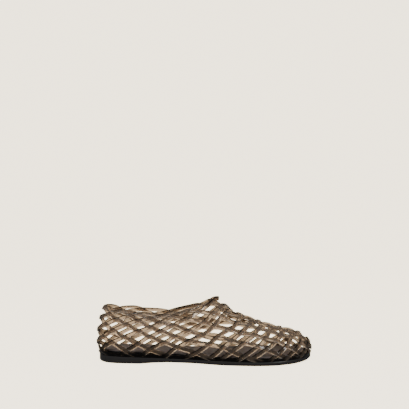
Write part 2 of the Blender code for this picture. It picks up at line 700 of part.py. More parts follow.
def build():
    """All four pieces."""
    stations = loft_stations()
    upper()
    slab("outsole", (
        (SOLE_LEDGE - SOLE_EDGE_ROUND, underside),
        (SOLE_LEDGE - SOLE_EDGE_ROUND * ROUND_FLANK, raised(underside, SOLE_EDGE_ROUND * ROUND_FLANK)),
        (SOLE_LEDGE, raised(underside, SOLE_EDGE_ROUND)),
        (SOLE_LEDGE, raised(sole_top, -EDGE_ROUND)),
        (SOLE_LEDGE - EDGE_ROUND, sole_top),
    ), stations)
    slab("footbed", (
        (-FOOTBED_INSET, raised(sole_top, SEAT_GAP)),
        (-FOOTBED_INSET, raised(insole_under, -SEAT_GAP)),
    ), stations)
    slab("insole", (
        (-INSOLE_INSET, insole_under),
        (-INSOLE_INSET, raised(insole_top, -EDGE_ROUND)),
        (-INSOLE_INSET - EDGE_ROUND, insole_top),
    ), stations)


for thing in list(bpy.data.objects):
    bpy.data.objects.remove(thing, do_unlink=True)
bpy.context.scene.collection.children.link(bpy.data.collections.new(NAME))
build()
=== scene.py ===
"""Looks of the jelly ballet flat: woven strips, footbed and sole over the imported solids.

Sizes are in millimetres in the tables and functions, with x from the back of the heel to the toe,
negative y on the outer side of the foot and z up from the floor. Meshes are written in metres
around the middle of the shoe.
"""

import bmesh
import bpy
import numpy as np
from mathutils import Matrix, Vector


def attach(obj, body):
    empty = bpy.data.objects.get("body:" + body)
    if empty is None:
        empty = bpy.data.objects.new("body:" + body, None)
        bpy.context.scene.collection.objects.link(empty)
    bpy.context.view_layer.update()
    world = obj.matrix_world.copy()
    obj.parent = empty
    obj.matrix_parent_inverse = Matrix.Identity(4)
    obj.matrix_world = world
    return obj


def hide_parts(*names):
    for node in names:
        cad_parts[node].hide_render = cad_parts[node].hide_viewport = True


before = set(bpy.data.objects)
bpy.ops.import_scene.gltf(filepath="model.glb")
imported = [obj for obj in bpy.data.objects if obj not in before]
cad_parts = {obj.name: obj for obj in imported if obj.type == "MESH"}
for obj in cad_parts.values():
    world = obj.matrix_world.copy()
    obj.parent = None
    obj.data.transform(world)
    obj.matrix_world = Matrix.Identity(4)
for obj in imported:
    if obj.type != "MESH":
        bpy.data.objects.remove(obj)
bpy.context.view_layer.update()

MM = 0.001
LENGTH = 250.0
SIDE_SHIFT = -0.4

# strips of the net
STRIP_HALF_WIDTH = 2.5
STRIP_HALF_THICKNESS = 1.05
STRIP_SQUARENESS = 4.5
STRIP_SECTION = 18
STRIP_STEP = 1.2
STRIP_FEWEST_STEPS = 8
STRIP_SMOOTHING = 1.6
OVER_LIFT = -0.15
UNDER_LIFT = -1.75
END_EASE = 8.0
BAND_HALF_WIDTH = 1.9
BAND_HEIGHT = 3.4
BAND_LIFT = -1.0
THROAT_HOOP = 2
LOOP_REACH = 0.35
LOOP_SHIFT = (2.2, 0.0, -1.0)

# painted light and shade of the strips, from -1 at a lower edge painted pale as light to 1 at an upper edge
# painted black as shade: the rise across a strip below which its edges fade, the deepest painted shade
# inside, and the deepest painted shade at an upper edge by how far it faces the toe
PAINTED_SHADING_LAYER = "painted_shading"
FLATTEST = 0.6
INNER_PAINTED_SHADE_CAP = 0.5
TOE_FACING = (-0.1, 0.2)
TOE_FACING_PAINTED_SHADES = (1.0, 0.48)
# painted shade: strips go black where they pass the insole and dim for a stretch above it, but their lower
# lip keeps its painted pale light
FOOT_LEVEL = 14.0
FOOT_SLOPE = 1.5
FOOT_FADE = 2.4
LIP = -0.6
LIP_DROP = 5.5
DIM_RISE = 13.0
DIM_FADE = 5.0
DIM_PAINTED_SHADE = 0.52
# painted shade: faces that turn to the back of the heel or the tip of the toe are painted deeper
END_FACING = 0.75
END_PAINTED_SHADES = (0.44, 0.60)

# sole, footbed and insole
SEAT_GAP = 0.3
SOLE_LEDGE = 1.0
SOLE_EDGE_ROUND = 2.2
FOOTBED_INSET = 3.4
INSOLE_THICKNESS = 1.4
INSOLE_INSET = 3.7
EDGE_ROUND = 0.6
SOLE_ROUND_STEPS = 6
EDGE_ROUND_STEPS = 4
SWELL_LOW = 0.7
SHARP_ANGLE = 50.0

# steps of the lines and surfaces
SOLE_SECTIONS = 225
LENGTH_SAMPLES = 9
RIB_SAMPLES = 33
SAMPLES_PER_KNOT = 24
OUTLINE_STEP = 0.01
NORMAL_STEP = 0.02
SHORTEST = 1e-6
PARALLEL = 1e-12

# the last, one rib a row from the back of the heel to the toe: where the wall meets the sole,
# its half widths there, the collar or ridge that it rises to, how far it swells and how full it is
RIB_COLUMNS = ("foot_x", "outer", "inner", "foot_z", "crown_x", "crown_half", "crown_z", "swell", "full")
RIBS = (
    (4.5, 0.0, 0.0, 8.0, 8.6, 0.0, 61.8, 4.2, 2.0),
    (8.8, 13.5, 13.5, 8.0, 11.3, 10.5, 61.6, 4.3, 2.0),
    (20.0, 22.5, 22.5, 8.0, 21.0, 18.5, 59.6, 4.5, 2.0),
    (42.0, 26.5, 26.0, 7.6, 42.0, 22.0, 58.6, 4.4, 2.0),
    (70.0, 28.0, 25.5, 7.0, 70.0, 23.0, 55.2, 4.2, 2.0),
    (98.0, 30.5, 25.0, 6.2, 96.0, 20.0, 58.0, 3.8, 2.0),
    (124.0, 34.0, 28.0, 5.4, 120.0, 13.0, 64.0, 3.2, 1.9),
    (146.0, 37.5, 33.0, 5.0, 139.0, 0.0, 72.0, 2.5, 1.8),
    (166.0, 40.0, 37.5, 4.6, 156.0, 0.0, 58.2, 2.0, 1.8),
    (186.0, 41.0, 40.0, 4.5, 174.0, 0.0, 49.6, 2.0, 1.9),
    (205.0, 38.5, 40.0, 4.8, 191.0, 0.0, 42.9, 2.0, 2.0),
    (222.0, 32.5, 36.5, 5.4, 207.0, 0.0, 38.2, 2.0, 2.1),
    (235.0, 23.5, 29.5, 6.2, 220.0, 0.0, 35.3, 2.2, 2.2),
    (243.0, 12.5, 19.5, 6.8, 229.0, 0.0, 33.0, 2.5, 2.2),
    (247.2, -3.0, 3.0, 7.2, 233.0, 0.0, 32.0, 3.2, 2.2),
)
TOE_TURN = 3.0
TURN_START = 60.0

# hoops over the vamp: the rib station of each at these shares of the wall's height, on both sides
HOOP_HEIGHTS = (0.0, 0.25, 0.4, 0.5, 0.75, 1.0)
HOOPS_OUTER = {
    2: (2.35, 3.15, 3.52, 3.81, 4.9, 7.1),
    3: (3.34, 3.92, 4.51, 4.95, 7.0, 7.89),
    4: (4.28, 4.87, 5.69, 6.6, 7.54, 8.03),
    5: (5.02, 6.25, 7.2, 7.69, 8.3, 8.75),
    6: (6.13, 7.33, 7.95, 8.32, 8.99, 9.31),
    7: (6.76, 8.05, 8.69, 9.02, 9.6, 9.88),
    8: (7.7, 8.98, 9.5, 9.77, 10.25, 10.56),
    9: (8.32, 9.65, 10.24, 10.57, 11.03, 11.3),
    10: (9.51, 10.64, 11.12, 11.38, 11.91, 12.25),
    11: (10.35, 11.6, 12.15, 12.45, 13.1, 13.59),
}
HOOPS_INNER = {
    2: (2.01, 2.93, 3.48, 3.77, 4.77, 7.1),
    3: (3.27, 3.93, 4.48, 4.88, 7.13, 7.89),
    4: (4.3, 4.89, 5.56, 6.43, 7.44, 8.03),
    5: (4.85, 5.83, 6.69, 7.28, 8.13, 8.75),
    6: (5.7, 7.04, 7.78, 8.09, 8.89, 9.31),
    7: (6.6, 7.83, 8.5, 8.85, 9.5, 9.88),
    8: (7.26, 8.66, 9.26, 9.66, 10.2, 10.56),
    9: (8.36, 9.49, 10.1, 10.54, 11.06, 11.3),
    10: (9.26, 10.38, 10.9, 11.25, 11.84, 12.25),
    11: (10.01, 11.32, 11.93, 12.29, 13.0, 13.59),
}

# strips that run along the foot: a station and height at each end, and the heights at shares between
RUN_SHARES = {"start_height": 0.0, "eighth": 0.125, "quarter": 0.25, "three_eighths": 0.375, "half": 0.5,
              "three_quarter": 0.75, "end_height": 1.0}
RUN_COLUMNS = ("start", "start_height", "eighth", "quarter", "three_eighths", "half", "three_quarter", "end",
               "end_height")
RISERS_OUTER = {
    -3: (0.0, 0.974, 0.97, 0.975, 0.98, 0.985, 0.995, 1.6, 1.0),
    -2: (0.0, 0.755, 0.765, 0.781, 0.814, 0.855, 0.948, 2.75, 1.0),
    -1: (0.0, 0.497, 0.54, 0.592, 0.656, 0.728, 0.877, 3.75, 1.0),
    0: (0.0, 0.234, 0.301, 0.393, 0.51, 0.653, 0.895, 5.1, 1.0),
    1: (0.0, 0.0, 0.084, 0.214, 0.368, 0.539, 0.908, 6.3, 1.0),
}
RISERS_INNER = {
    -3: (0.0, 0.974, 0.979, 0.976, 0.975, 0.978, 0.989, 1.64, 1.0),
    -2: (0.0, 0.755, 0.756, 0.76, 0.786, 0.83, 0.931, 2.75, 1.0),
    -1: (0.0, 0.497, 0.525, 0.564, 0.641, 0.733, 0.881, 3.75, 1.0),
    0: (0.0, 0.234, 0.311, 0.394, 0.517, 0.676, 0.901, 5.57, 1.0),
    1: (0.0, 0.0, 0.078, 0.204, 0.366, 0.544, 0.915, 6.3, 1.0),
}
RUNS_OUTER = {
    0: (0.0, 0.234, 0.222, 0.2, 0.17, 0.135, 0.07, 2.0, 0.0),
    1: (0.0, 0.497, 0.484, 0.464, 0.428, 0.377, 0.233, 3.3, 0.0),
    2: (0.0, 0.755, 0.759, 0.725, 0.636, 0.519, 0.25, 4.75, 0.0),
    3: (0.0, 0.974, 0.979, 0.917, 0.779, 0.61, 0.258, 6.5, 0.0),
    4: (1.6, 1.0, 0.984, 0.768, 0.563, 0.358, 0.156, 9.2, 0.0),
    5: (2.75, 1.0, 0.879, 0.693, 0.442, 0.301, 0.26, 11.0, 0.0),
    6: (3.75, 1.0, 0.883, 0.669, 0.454, 0.454, 0.375, 12.3, 0.0),
    7: (5.1, 1.0, 0.794, 0.599, 0.652, 0.636, 0.514, 13.6, 0.0),
}
RUNS_INNER = {
    0: (0.0, 0.234, 0.215, 0.19, 0.16, 0.125, 0.065, 2.0, 0.0),
    1: (0.0, 0.497, 0.458, 0.418, 0.383, 0.341, 0.209, 3.7, 0.0),
    2: (0.0, 0.755, 0.76, 0.753, 0.687, 0.572, 0.282, 4.84, 0.0),
    3: (0.0, 0.974, 0.964, 0.914, 0.787, 0.624, 0.25, 6.5, 0.0),
    4: (1.64, 1.0, 0.86, 0.748, 0.584, 0.379, 0.17, 9.2, 0.0),
    5: (2.75, 1.0, 0.87, 0.7, 0.474, 0.34, 0.284, 11.0, 0.0),
    6: (3.75, 1.0, 0.852, 0.633, 0.438, 0.473, 0.391, 12.3, 0.0),
    7: (5.57, 1.0, 0.804, 0.605, 0.646, 0.622, 0.499, 13.74, 0.0),
}
# strips that go round the toe in one, from the collar or the foot to the middle
TOE_WRAPS = {
    "run": (8, (6.3, 1.0, 0.735, 0.81, 0.82, 0.82, 0.68, 14.0, 0.22)),
    "hoop": (12, (11.4, 0.0, 0.055, 0.115, 0.175, 0.24, 0.42, 14.0, 0.56)),
}

# underside and insole heights along the shoe
SOLE_COLUMNS = ("x", "z")
UNDERSIDE = ((4.0, 0.0), (52.0, 0.0), (66.0, 1.2), (84.0, 2.0), (112.0, 1.5), (138.0, 0.3), (150.0, 0.0),
             (206.0, 0.0), (226.0, 0.8), (240.0, 2.0), (248.0, 2.9))
INSOLE_TOP = ((4.0, 14.8), (40.0, 14.4), (80.0, 13.0), (120.0, 11.2), (150.0, 10.2), (190.0, 9.8),
              (225.0, 10.4), (247.0, 11.6))

OUTER, INNER = -1, 1
LAST_RIB = len(RIBS) - 1
THROAT_RIB = 7
RIB_TABLE = {name: np.array(column) for name, column in zip(RIB_COLUMNS, np.array(RIBS).T)}
RIB_STEPS = np.linspace(0, 1, RIB_SAMPLES)
CHART_PULL = 0.69
CHART_WAIST = 0.6


def unit(vectors):
    """Vectors scaled to length one."""
    return vectors / np.linalg.norm(vectors, axis=-1, keepdims=True)


def eased(share):
    """A share from 0 to 1 with a soft start and end."""
    return share**2 * (3 - 2 * share)


def smooth_knots(values, at):
    """Smooth curve through evenly spaced values that already have one extra at each end."""
    span = len(values) - 4
    low = np.clip(np.floor(at).astype(int), 0, span)
    share = at - low
    before, start, end, after = (values[low + step] for step in range(4))
    bend = 2 * before - 5 * start + 4 * end - after
    twist = 3 * start - before - 3 * end + after
    return 0.5 * (2 * start + (end - before) * share + bend * share**2 + twist * share**3)


def rib_value(name, station, side=OUTER):
    """A column of the last at any station; the other side's rows carry on past the heel and the toe."""
    own, other = ("outer", "inner") if side == OUTER else ("inner", "outer")
    if name == "half":
        column, beyond = side * RIB_TABLE[own], -side * RIB_TABLE[other]
        tip = INNER * RIB_TABLE["inner"][-1]
        column = np.append(column[:-1], tip)
    elif name == "crown_half":
        column, beyond = side * RIB_TABLE[name], -side * RIB_TABLE[name]
    else:
        column = beyond = RIB_TABLE[name]
    values = np.concatenate([beyond[1:2], column, beyond[-2:-1]])
    return smooth_knots(values, np.asarray(station, float))


def middle_line(x):
    """The shoe's middle line bends towards the inner side at the toe."""
    return TOE_TURN * eased(np.clip((x - TURN_START) / (LENGTH - TURN_START), 0, 1))


def foot_outline(side, station):
    """Plan of the wall at the sole, with the direction that points out of the shoe."""
    points = np.stack([rib_value("foot_x", station), rib_value("half", station, side)], -1)
    ahead = np.clip(station + OUTLINE_STEP, 0, LAST_RIB)
    back = np.clip(station - OUTLINE_STEP, 0, LAST_RIB)
    run_x = rib_value("foot_x", ahead) - rib_value("foot_x", back)
    run_y = rib_value("half", ahead, side) - rib_value("half", back, side)
    outward = np.stack([-run_y, run_x], -1) * side
    on_middle = (station < OUTLINE_STEP) | (station > LAST_RIB - OUTLINE_STEP)
    outward[on_middle, 1] = 0
    return points, unit(outward)


def rib_point(side, station, turn):
    """Point of a rib, where turn goes from 0 at the sole to 1 at the top."""
    foot, outward = foot_outline(side, station)
    crown_x = rib_value("crown_x", station)
    crown = np.stack([crown_x, middle_line(crown_x) + rib_value("crown_half", station, side)], -1)
    power = 2 / rib_value("full", station)
    angle = turn * np.pi / 2
    inwards = 1 - np.maximum(np.cos(angle), 0) ** power
    rise = np.maximum(np.sin(angle), 0) ** power
    swell = rib_value("swell", station) * np.sin(np.pi * rise**SWELL_LOW)
    plan = foot + (crown - foot) * inwards[..., None] + outward * swell[..., None]
    foot_z = rib_value("foot_z", station)
    height = foot_z + (rib_value("crown_z", station) - foot_z) * rise
    return np.concatenate([plan, height[..., None]], -1)


def side_points(side, station, share):
    """Points of one side at a share of each rib's own length."""
    grid_station = np.repeat(station, len(RIB_STEPS))
    grid_turn = np.tile(RIB_STEPS, len(station))
    ribs = rib_point(side, grid_station, grid_turn).reshape(len(station), len(RIB_STEPS), 3)
    lengths = np.linalg.norm(np.diff(ribs, axis=1), axis=2).cumsum(axis=1)
    lengths = np.concatenate([np.zeros((len(station), 1)), lengths], axis=1)
    turns = [np.interp(part * total[-1], total, RIB_STEPS) for part, total in zip(share, lengths)]
    return rib_point(side, station, np.array(turns))


def sides_of(along, up, mirrored):
    """Side of each point, counting the turns past the heel's back, the toe's middle and the ridge."""
    side = np.full(along.shape, INNER if mirrored else OUTER)
    for beyond in (along < 0, along > LAST_RIB, up > 1):
        side = np.where(beyond, -side, side)
    return side


def folded(along, up):
    """Station and share of a rib, also past the heel's back, the toe's middle or the ridge."""
    station = np.abs(along)
    station = np.where(station > LAST_RIB, 2 * LAST_RIB - station, station)
    return station, np.where(up > 1, 2 - up, up)


def wall(along, up, mirrored=False):
    """Points of the last. Past the heel's back, the ridge or the toe's middle the other side follows."""
    side = sides_of(along, up, mirrored)
    station, share = folded(along, up)
    points = np.empty(along.shape + (3,))
    for which in (OUTER, INNER):
        chosen = side == which
        if chosen.any():
            points[chosen] = side_points(which, station[chosen], share[chosen])
    return points


def wall_normal(along, up, mirrored):
    """Direction out of the shoe, square to the last."""
    at_collar = (np.abs(along) < THROAT_RIB) & (up <= 1)
    low = np.maximum(up - NORMAL_STEP, 0)
    high = np.minimum(up + NORMAL_STEP, np.where(at_collar, 1, 2))
    run = wall(along + NORMAL_STEP, up, mirrored) - wall(along - NORMAL_STEP, up, mirrored)
    climb = wall(along, high, mirrored) - wall(along, low, mirrored)
    return unit(np.cross(climb, run) if mirrored else np.cross(run, climb))


def chart(along, up, mirrored):
    """Flat place of a point of the last, with the foot outline outside and the collar inside."""
    side = sides_of(along, up, mirrored)
    station, share = folded(along, up)
    throat_x = RIB_TABLE["crown_x"][THROAT_RIB]
    half = np.where(side == OUTER, rib_value("half", station, OUTER), rib_value("half", station, INNER))
    foot = np.stack([rib_value("foot_x", station), half], -1)
    crown_x = rib_value("crown_x", station)
    chart_x = np.where(crown_x < throat_x, throat_x + (crown_x - throat_x) * CHART_PULL, crown_x)
    waist = CHART_WAIST * np.maximum(rib_value("crown_half", station, INNER), 0)
    chart_y = middle_line(crown_x) + side * waist
    return foot + (np.stack([chart_x, chart_y], -1) - foot) * share[..., None]


def smooth_line(knots, turns_at=None):
    """Along and up of a smooth line through knots, level at an end that turns over the collar."""
    knots = np.array(knots, float)
    first = 2 * knots[0] - knots[1]
    last = 2 * knots[-1] - knots[-2]
    if turns_at == "start":
        first = knots[1] * (-1, 1) + (2 * knots[0][0], 0)
    if turns_at == "end":
        last = knots[-2] * (-1, 1) + (2 * knots[-1][0], 0)
    knots = np.concatenate([[first], knots, [last]])
    at = np.linspace(0, len(knots) - 3, (len(knots) - 3) * SAMPLES_PER_KNOT + 1)
    along, up = smooth_knots(knots[:, 0], at), smooth_knots(knots[:, 1], at)
    if turns_at:
        up = np.minimum(up, 1.0)
    return along, up


class Strip:
    """A stretch of a strip's middle line on the last, with its family and number in the weave."""

    def __init__(self, family, number, line, mirrored):
        self.family, self.number, self.mirrored = family, number, mirrored
        self.along = line[0]
        self.up = np.clip(line[1], 0, 2)
        self.flat = chart(self.along, self.up, mirrored)
        self.lifts = []


def over_ridge(outer_knots, inner_knots):
    """A line up the outer side and down the inner side."""
    along, up = smooth_line(outer_knots)
    inner_along, inner_up = smooth_line(inner_knots)
    return np.concatenate([along, inner_along[-2::-1]]), np.concatenate([up, 2 - inner_up[-2::-1]])


def run_knots(row):
    """Knots of a strip that runs along the foot."""
    values = dict(zip(RUN_COLUMNS, row))
    span = values["end"] - values["start"]
    return [(values["start"] + span * share, values[name]) for name, share in RUN_SHARES.items()]


def net_strips():
    """Every stretch of strip by family, number and side."""
    strips = {}
    for number, stations in HOOPS_OUTER.items():
        line = over_ridge(list(zip(stations, HOOP_HEIGHTS)), list(zip(HOOPS_INNER[number], HOOP_HEIGHTS)))
        strips["hoop", number, False] = Strip("hoop", number, line, False)
    for mirrored, risers, runs in ((False, RISERS_OUTER, RUNS_OUTER), (True, RISERS_INNER, RUNS_INNER)):
        for number, row in risers.items():
            line = smooth_line(run_knots(row), "end")
            strips["hoop", number, mirrored] = Strip("hoop", number, line, mirrored)
        for number, row in runs.items():
            line = smooth_line(run_knots(row), "start" if row[1] == 1.0 else None)
            strips["run", number, mirrored] = Strip("run", number, line, mirrored)
    for family, (number, row) in TOE_WRAPS.items():
        towards = run_knots(row)
        away = [(2 * LAST_RIB - along, up) for along, up in reversed(towards[:-1])]
        strips[family, number, False] = Strip(family, number, smooth_line(towards + away), False)
    return strips


# stretches that are one strip on the shoe: from the inner foot round the heel, up and over the collar,
# and the one from foot to foot round the toe
CHAINS = (
    (("run", 0, INNER), ("hoop", 0, OUTER), ("run", 7, OUTER)),
    (("run", 1, INNER), ("hoop", -1, OUTER), ("run", 6, OUTER)),
    (("run", 2, INNER), ("hoop", -2, OUTER), ("run", 5, OUTER)),
    (("run", 3, INNER), ("hoop", -3, OUTER), ("run", 4, OUTER)),
)
TOE_CHAIN = (("hoop", 1, OUTER), ("run", 8, OUTER), ("hoop", 1, INNER))


def crossings(first, second):
    """Sample positions on both strips where their middle lines cross."""
    a, b = first.flat[:-1, None], np.diff(first.flat, axis=0)[:, None]
    c, d = second.flat[None, :-1], np.diff(second.flat, axis=0)[None]
    across = b[..., 0] * d[..., 1] - b[..., 1] * d[..., 0]
    across = np.where(np.abs(across) < PARALLEL, PARALLEL, across)
    gap = c - a
    on_first = (gap[..., 0] * d[..., 1] - gap[..., 1] * d[..., 0]) / across
    on_second = (gap[..., 0] * b[..., 1] - gap[..., 1] * b[..., 0]) / across
    inside = (on_first >= 0) & (on_first < 1) & (on_second >= 0) & (on_second < 1)
    return [(i + on_first[i, j], j + on_second[i, j]) for i, j in zip(*np.nonzero(inside))]


def weave(strips):
    """Gives each strip its lifts in plain weave, hoops over every second run, the inner side turned."""
    strips = list(strips.values())
    for i, first in enumerate(strips):
        for second in strips[i + 1:]:
            for at_first, at_second in crossings(first, second):
                k = int(round(at_first))
                side = sides_of(first.along[k:k + 1], first.up[k:k + 1], first.mirrored)[0]
                hoop_over = ((first.number + second.number) % 2 == 0) == (side == OUTER)
                first_over = hoop_over == (first.family == "hoop")
                first.lifts.append((at_first, OVER_LIFT if first_over else UNDER_LIFT))
                second.lifts.append((at_second, UNDER_LIFT if first_over else OVER_LIFT))


def joined(stretches, heel_lift=None):
    """Points, outward directions and lifts of a chain of stretches, laid end to end."""
    points, normals, lifts, offset = [], [], [], 0
    for stretch, backwards in stretches:
        at = np.arange(len(stretch.along))
        order = at[::-1] if backwards else at
        points.append(wall(stretch.along, stretch.up, stretch.mirrored)[order])
        normals.append(wall_normal(stretch.along, stretch.up, stretch.mirrored)[order])
        own = [((len(at) - 1 - k) if backwards else k, lift) for k, lift in stretch.lifts]
        lifts.extend((offset + k, lift) for k, lift in own)
        if backwards and heel_lift is not None:
            lifts.append((offset + len(at) - 1, heel_lift))
        offset += len(at)
    return np.concatenate(points), np.concatenate(normals), sorted(lifts)


def stood_up(strip, points, normals, lifts):
    """The throat hoop with its crest turned on edge, so that it stands as a loop."""
    share = np.clip(1 - np.abs(strip.up - 1) / LOOP_REACH, 0, 1)
    ease = eased(share)[:, None]
    ahead = np.gradient(points, axis=0)
    level = unit(np.stack([ahead[:, 1], -ahead[:, 0], np.zeros(len(ahead))], -1))
    return points + ease * LOOP_SHIFT, normals + ease * (level - normals), lifts


def blurred(values, spread, closed):
    """Values along an even line, smoothed over a number of steps, with open ends kept."""
    reach = int(np.ceil(3 * spread))
    weights = np.exp(-0.5 * (np.arange(-reach, reach + 1) / spread) ** 2)
    weights /= weights.sum()
    if closed:
        padded = np.concatenate([values[-reach:], values, values[:reach]])
    else:
        head = 2 * values[0] - values[reach:0:-1]
        tail = 2 * values[-1] - values[-2:-reach - 2:-1]
        padded = np.concatenate([head, values, tail])
    return np.stack([np.convolve(column, weights, "valid") for column in padded.T], -1)


def woven_lift(even, marks, heights):
    """Lift at even places along a strip, eased from crossing to crossing and to the middle past its ends."""
    middle = (OVER_LIFT + UNDER_LIFT) / 2
    marks = np.concatenate([[marks[0] - END_EASE], marks, [marks[-1] + END_EASE]])
    heights = np.concatenate([[middle], heights, [middle]])
    index = np.clip(np.searchsorted(marks, even) - 1, 0, len(marks) - 2)
    share = np.clip((even - marks[index]) / np.maximum(marks[index + 1] - marks[index], SHORTEST), 0, 1)
    return heights[index] + (heights[index + 1] - heights[index]) * eased(share)


def strip_section(half_width):
    """Places across and out from a strip's middle line for the points round its section."""
    angles = np.arange(STRIP_SECTION) * 2 * np.pi / STRIP_SECTION
    cosine, sine = np.cos(angles), np.sin(angles)
    wide = half_width * np.sign(cosine) * np.abs(cosine) ** (2 / STRIP_SQUARENESS)
    thick = STRIP_HALF_THICKNESS * np.sign(sine) * np.abs(sine) ** (2 / STRIP_SQUARENESS)
    return wide, thick


def painted_strip_shades(rings, across, outward, level, inside):
    """Painted light and shade of every point of a strip, from its level across the section and its place on
    the shoe.
    """
    # painted shade darkens the upper edge and painted light pales the lower edge, from how far the edge
    # faces up; upper edges that face the toe get less painted shade
    upwards = across[:, 2:] / np.maximum(np.abs(across[:, 2:]), FLATTEST)
    towards_toe = across[:, :1] * np.sign(across[:, 2:])
    edge = np.minimum(upwards * level, np.interp(towards_toe, TOE_FACING, TOE_FACING_PAINTED_SHADES))
    # the inner half of the section gets a lighter painted shade
    edge = np.where(inside, np.minimum(edge, INNER_PAINTED_SHADE_CAP), edge)
    # painted shade: black below the insole's line and dim for a stretch above it, except on the lower lip,
    # which keeps its painted pale light
    lip = edge < LIP
    bed, height = insole_top(rings[..., 0]), rings[..., 2]
    dark_line = FOOT_LEVEL + FOOT_SLOPE * (bed - FOOT_LEVEL)
    black = np.clip((dark_line - LIP_DROP * lip - height) / FOOT_FADE, 0, 1)
    dim = np.clip((bed + DIM_RISE - height) / DIM_FADE, 0, 1) * ~lip
    foot = np.maximum(2 * black, (1 + DIM_PAINTED_SHADE) * dim) - 1
    # painted shade on faces that turn to the heel's back or the toe's tip
    facing = np.abs(outward[:, :1])
    end = np.where(facing > END_FACING, np.interp(facing, (END_FACING, 1), END_PAINTED_SHADES), -1)
    return np.maximum(np.maximum(edge, end), foot)


def tube(mesh, rings, painted_shades, closed):
    """Adds the skin of a strip to a mesh, ring by ring, with the painted light and shade of every point."""
    layer = mesh.verts.layers.float[PAINTED_SHADING_LAYER]
    verts = [[mesh.verts.new(place) for place in ring] for ring in to_frame(rings)]
    for ring, values in zip(verts, painted_shades):
        for vert, value in zip(ring, values):
            vert[layer] = value
    following = verts[1:] + verts[:1] if closed else verts[1:]
    for low, high in zip(verts, following):
        for k in range(STRIP_SECTION):
            n = (k + 1) % STRIP_SECTION
            mesh.faces.new((low[k], low[n], high[n], high[k]))
    if not closed:
        mesh.faces.new(verts[0])
        mesh.faces.new(reversed(verts[-1]))


def swept(mesh, points, normals, lifts, half_width, closed=False):
    """Adds a strip of rounded section along a line of points, lifted in and out where it is woven.

    A closed strip is the band that joins the feet, which has one lift and is painted black all over as
    shade.
    """
    keep = np.append(True, np.linalg.norm(np.diff(points, axis=0), axis=1) > SHORTEST)
    kept_at = np.flatnonzero(keep)
    points, normals = points[keep], normals[keep]
    length = np.append(0, np.linalg.norm(np.diff(points, axis=0), axis=1).cumsum())
    even = np.linspace(0, length[-1], max(int(length[-1] / STRIP_STEP), STRIP_FEWEST_STEPS) + 1)
    if closed:
        even = even[:-1]
    spread = STRIP_SMOOTHING / (even[1] - even[0])
    points, normals = (np.stack([np.interp(even, length, column) for column in rows.T], -1)
                       for rows in (points, normals))
    points, normals = blurred(points, spread, closed), unit(blurred(normals, spread, closed))
    lift = np.full(len(even), BAND_LIFT)
    if lifts:
        marks = np.interp([at for at, _ in lifts], kept_at, length)
        lift = woven_lift(even, marks, [height for _, height in lifts])
    points = points + normals * lift[:, None]
    if closed:
        ahead = np.roll(points, -1, axis=0) - np.roll(points, 1, axis=0)
    else:
        ahead = np.gradient(points, axis=0)
    ahead = unit(ahead)
    across = unit(np.cross(ahead, normals))
    outward = np.cross(across, ahead)
    wide, thick = strip_section(half_width)
    rings = points[:, None] + across[:, None] * wide[:, None] + outward[:, None] * thick[:, None]
    if closed:
        # the band is painted black all over as shade
        painted_shades = np.ones(rings.shape[:2])
    else:
        painted_shades = painted_strip_shades(rings, across, outward, wide / half_width, thick < 0)
    tube(mesh, rings, painted_shades, closed)


def to_frame(points):
    """Millimetres from the heel to metres around the middle of the shoe."""
    return (np.asarray(points) - (LENGTH / 2, SIDE_SHIFT, 0)) * MM


def foot_band():
    """Middle line of the band that joins the strips' feet all round, and its outward directions."""
    along = np.linspace(0, 2 * LAST_RIB, 2 * LAST_RIB * SAMPLES_PER_KNOT + 1)
    stations = np.where(along > LAST_RIB, 2 * LAST_RIB - along, along)
    shares = np.linspace(0, 1, LENGTH_SAMPLES)
    ribs = np.array([side_points(OUTER, np.full(LENGTH_SAMPLES, station), shares) for station in stations])
    lengths = np.linalg.norm(np.diff(ribs, axis=1), axis=2).sum(axis=1)
    up = BAND_HEIGHT / 2 / lengths
    return wall(along, up), wall_normal(along, up, False)


def woven_net():
    """The whole net as one mesh of woven strips and the band that joins their feet."""
    strips = net_strips()
    weave(strips)
    mesh = bmesh.new()
    mesh.verts.layers.float.new(PAINTED_SHADING_LAYER)
    for mirrored in (False, True):
        for chain in CHAINS:
            stretches = [(strips.pop((family, number, mirrored != (side == INNER))), side == INNER)
                         for family, number, side in chain]
            swept(mesh, *joined(stretches, UNDER_LIFT if mirrored else OVER_LIFT), STRIP_HALF_WIDTH)
    stretches = [(strips.pop((family, number, side == INNER)), side == INNER)
                 for family, number, side in TOE_CHAIN]
    swept(mesh, *joined(stretches), STRIP_HALF_WIDTH)
    for strip in strips.values():
        line = joined([(strip, False)])
        if (strip.family, strip.number) == ("hoop", THROAT_HOOP):
            line = stood_up(strip, *line)
        swept(mesh, *line, STRIP_HALF_WIDTH)
    swept(mesh, *foot_band(), [], BAND_HALF_WIDTH, closed=True)
    return mesh


def profile(rows, x):
    """Height from a table of places along the shoe."""
    table = dict(zip(SOLE_COLUMNS, np.array(rows).T))
    return np.interp(x, table["x"], table["z"])


